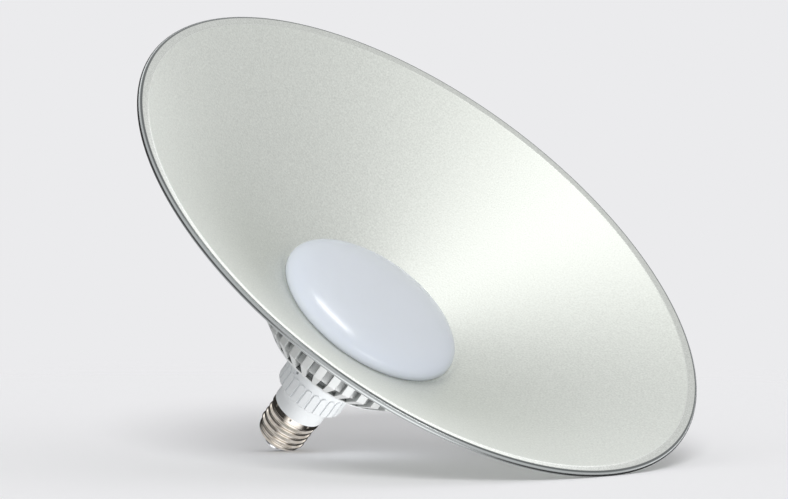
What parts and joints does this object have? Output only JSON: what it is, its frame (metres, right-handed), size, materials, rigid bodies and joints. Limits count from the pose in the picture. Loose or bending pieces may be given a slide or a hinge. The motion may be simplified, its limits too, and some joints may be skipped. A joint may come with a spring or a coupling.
{
  "type": "high bay led bulb",
  "caption": "Wide shallow aluminium reflector lamp with an opal domed diffuser, a toothed heat sink, a white neck with a gripping band and a screw cap.",
  "frame": {"origin": "on the lamp's axis, in the plane of the reflector's rim, on which the lamp rests", "axes": "+Z along the axis, from the rim towards the screw cap; the lamp hangs this way up"},
  "size_m": [0.32, 0.32, 0.1507],
  "materials": {
    "spun_aluminium": "fine sand-blasted and anodised, satin",
    "opal_polycarbonate": "opal, semi-gloss",
    "cast_aluminium_paint": "silver-white powder coat",
    "white_pbt": "moulded, satin",
    "nickel_plated_brass": "nickel plated",
    "cap_glass": "dark cap glass",
    "solder_mask": "white solder mask on aluminium",
    "phosphor": "yellow phosphor in a white frame",
    "silicone_pad": "grey-blue silicone",
    "zinc_steel": "zinc plated",
    "fishpaper": "insulating board",
    "grommet_rubber": "matte",
    "circuit_board": "green solder mask on glass fibre",
    "ferrite": "sintered, matte",
    "bobbin_plastic": "moulded",
    "winding_tape": "yellow polyester tape",
    "capacitor_sleeve": "shrink sleeve",
    "film_capacitor_case": "moulded",
    "choke_wire": "varnished winding",
    "chip_epoxy": "moulded epoxy",
    "resistor_lacquer": "lacquered",
    "live_insulation": "silicone wire",
    "neutral_insulation": "silicone wire",
    "red_insulation": "silicone wire",
    "black_insulation": "silicone wire"
  },
  "bodies": {
    "root": {"reflector": "spun_aluminium", "diffuser": "opal_polycarbonate", "heat_sink": "cast_aluminium_paint", "neck_housing": "white_pbt", "screw_shell": "nickel_plated_brass", "cap_insulator": "cap_glass", "centre_contact": "nickel_plated_brass", "led_board": "solder_mask", "led_packages": "phosphor", "thermal_pad": "silicone_pad", "board_screws": "zinc_steel", "neck_screws": "zinc_steel", "insulating_disc": "fishpaper", "lead_grommet": "grommet_rubber", "driver_board": "circuit_board", "transformer_core": "ferrite", "transformer_bobbin": "bobbin_plastic", "transformer_winding": "winding_tape", "input_capacitor": "capacitor_sleeve", "output_capacitor": "capacitor_sleeve", "film_capacitor": "film_capacitor_case", "choke": "choke_wire", "bridge_rectifier": "chip_epoxy", "controller_chip": "chip_epoxy", "power_transistor": "chip_epoxy", "fuse_resistor": "resistor_lacquer", "live_lead": "live_insulation", "neutral_lead": "neutral_insulation", "led_lead_positive": "red_insulation", "led_lead_negative": "black_insulation"}
  },
  "joints": []
}
